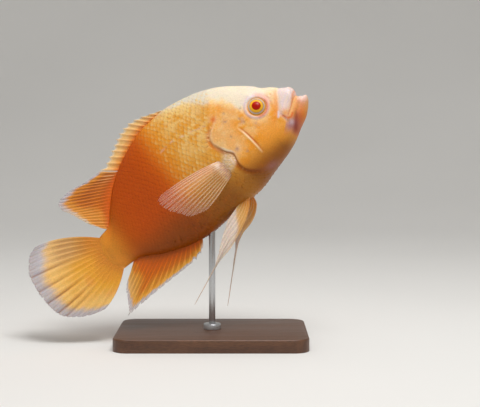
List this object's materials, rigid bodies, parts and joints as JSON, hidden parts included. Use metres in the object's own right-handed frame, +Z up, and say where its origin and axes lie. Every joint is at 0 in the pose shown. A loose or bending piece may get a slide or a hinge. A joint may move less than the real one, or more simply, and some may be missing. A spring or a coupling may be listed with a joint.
{
  "type": "oscar fish",
  "caption": "Deep-bodied golden oscar fish as a still life-size model, nose up, with fan-shaped ray fins, held by a rod on a flat wooden display base.",
  "frame": {"origin": "centre of the underside of the display base", "axes": "+X the way the fish faces, +Y to its left side, +Z up from the base; the underside of the base faces -Z"},
  "size_m": [0.2597, 0.1125, 0.2376],
  "materials": {
    "skin_head": "wet satin skin, cream over yellow-orange",
    "lips": "smooth pinkish white skin",
    "gill_cover": "wet satin skin, mottled yellow-orange",
    "eye": "clear glossy eye, red pupil in a golden ring",
    "skin_flank": "scaled skin, orange, deeper towards the back",
    "skin_tail": "scaled skin, deep orange",
    "fin": "thin rayed membrane, orange to gold with a pale edge",
    "paired_fin": "thin rayed membrane, translucent pinkish cream",
    "stand_wood": "oiled walnut",
    "stand_steel": "brushed"
  },
  "bodies": {
    "root": {"head": "skin_head", "lower_jaw": "skin_head", "upper_lip": "lips", "lower_lip": "lips", "gill_cover_right": "gill_cover", "gill_cover_left": "gill_cover", "eye_right": "eye", "eye_left": "eye", "torso": "skin_flank", "tail_stalk": "skin_tail", "dorsal_fin_spiny": "fin", "dorsal_fin_soft": "fin", "anal_fin": "fin", "tail_fin": "fin", "pectoral_fin_right": "paired_fin", "pectoral_fin_left": "paired_fin", "pelvic_fin_right": "paired_fin", "pelvic_fin_left": "paired_fin", "stand_base": "stand_wood", "stand_collar": "stand_steel", "stand_rod": "stand_steel"}
  },
  "joints": []
}
